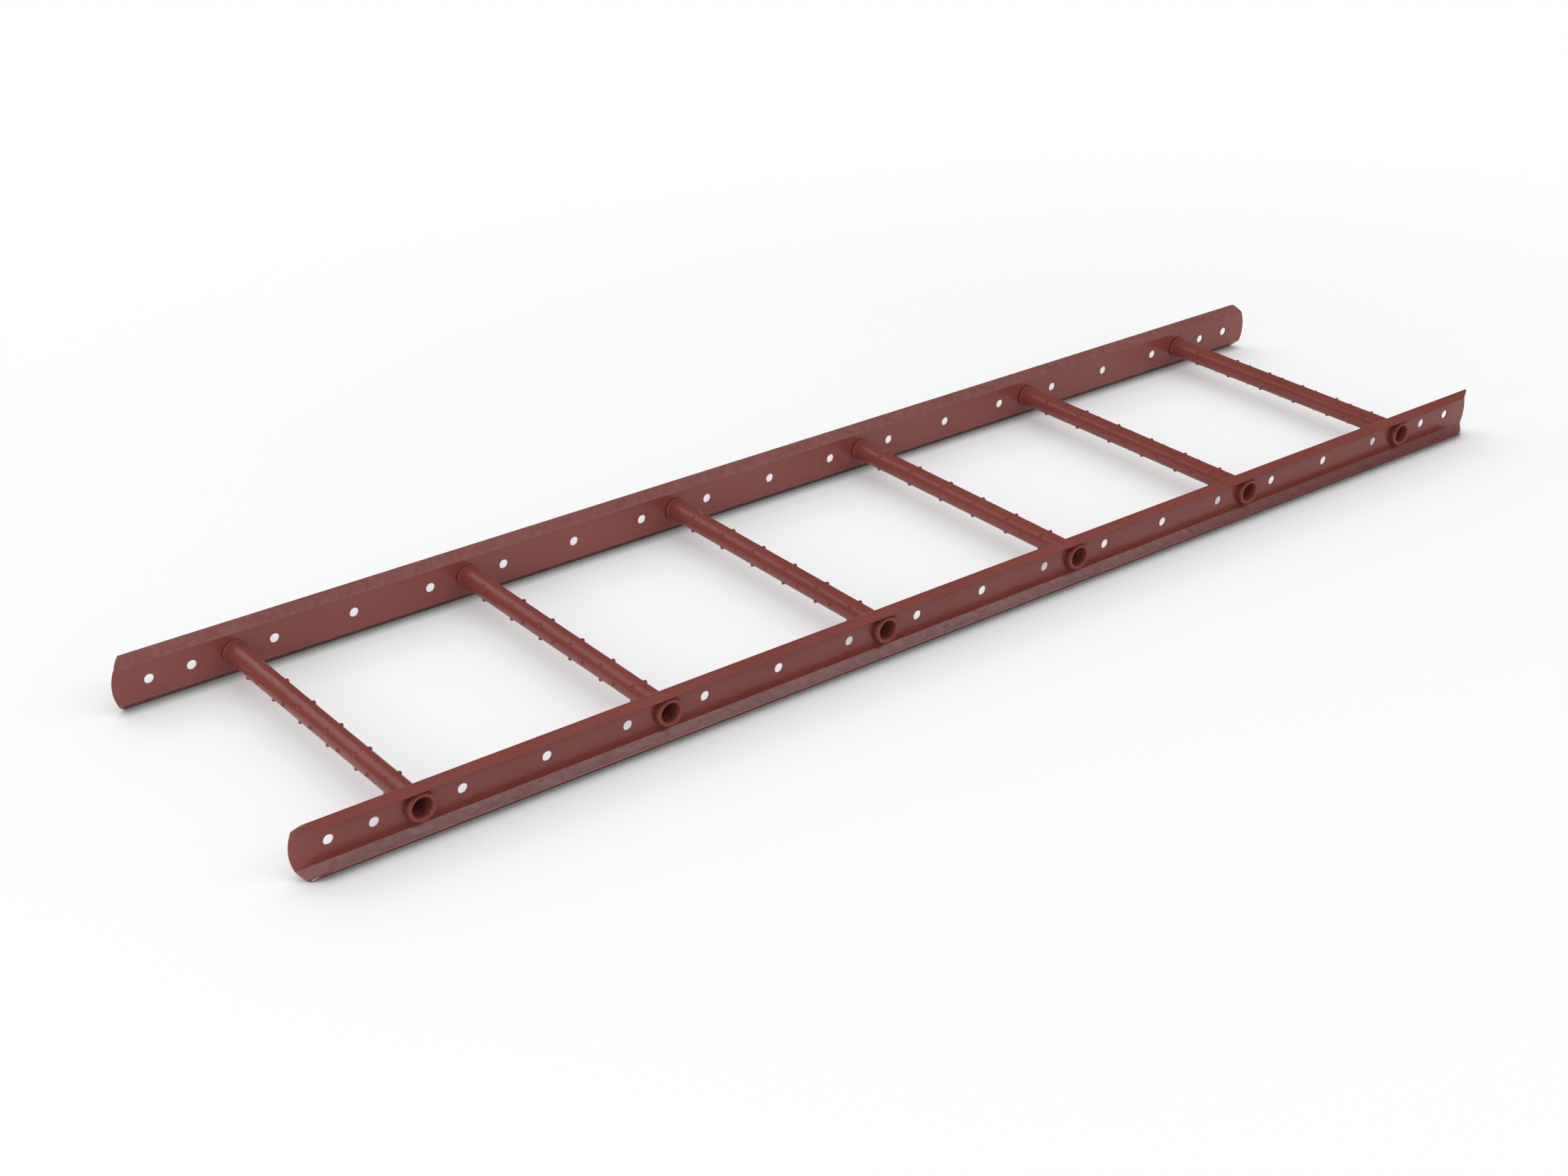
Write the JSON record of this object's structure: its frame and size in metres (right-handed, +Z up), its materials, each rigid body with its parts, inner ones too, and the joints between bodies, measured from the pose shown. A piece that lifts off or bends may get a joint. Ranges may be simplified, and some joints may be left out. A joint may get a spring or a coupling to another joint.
{
  "type": "ladder section",
  "caption": "Straight ladder section: two folded sheet rails with outward flanges, rounded ends and bolt holes, joined by round dimpled rungs swaged into them, in red-brown paint.",
  "frame": {"origin": "middle of the ladder's footprint, at the height of the surface it lies on", "axes": "+X along the rails, +Y across the ladder from the right rail to the left, +Z up out of the plane of the ladder"},
  "size_m": [1.7848, 0.4396, 0.065],
  "materials": {
    "rail_paint": "satin red-brown oxide paint on folded sheet steel",
    "rung_paint": "satin red-brown oxide paint on steel tube"
  },
  "bodies": {
    "root": {"side_rail_right": "rail_paint", "side_rail_left": "rail_paint", "rung_1": "rung_paint", "rung_2": "rung_paint", "rung_3": "rung_paint", "rung_4": "rung_paint", "rung_5": "rung_paint", "rung_6": "rung_paint"}
  },
  "joints": []
}
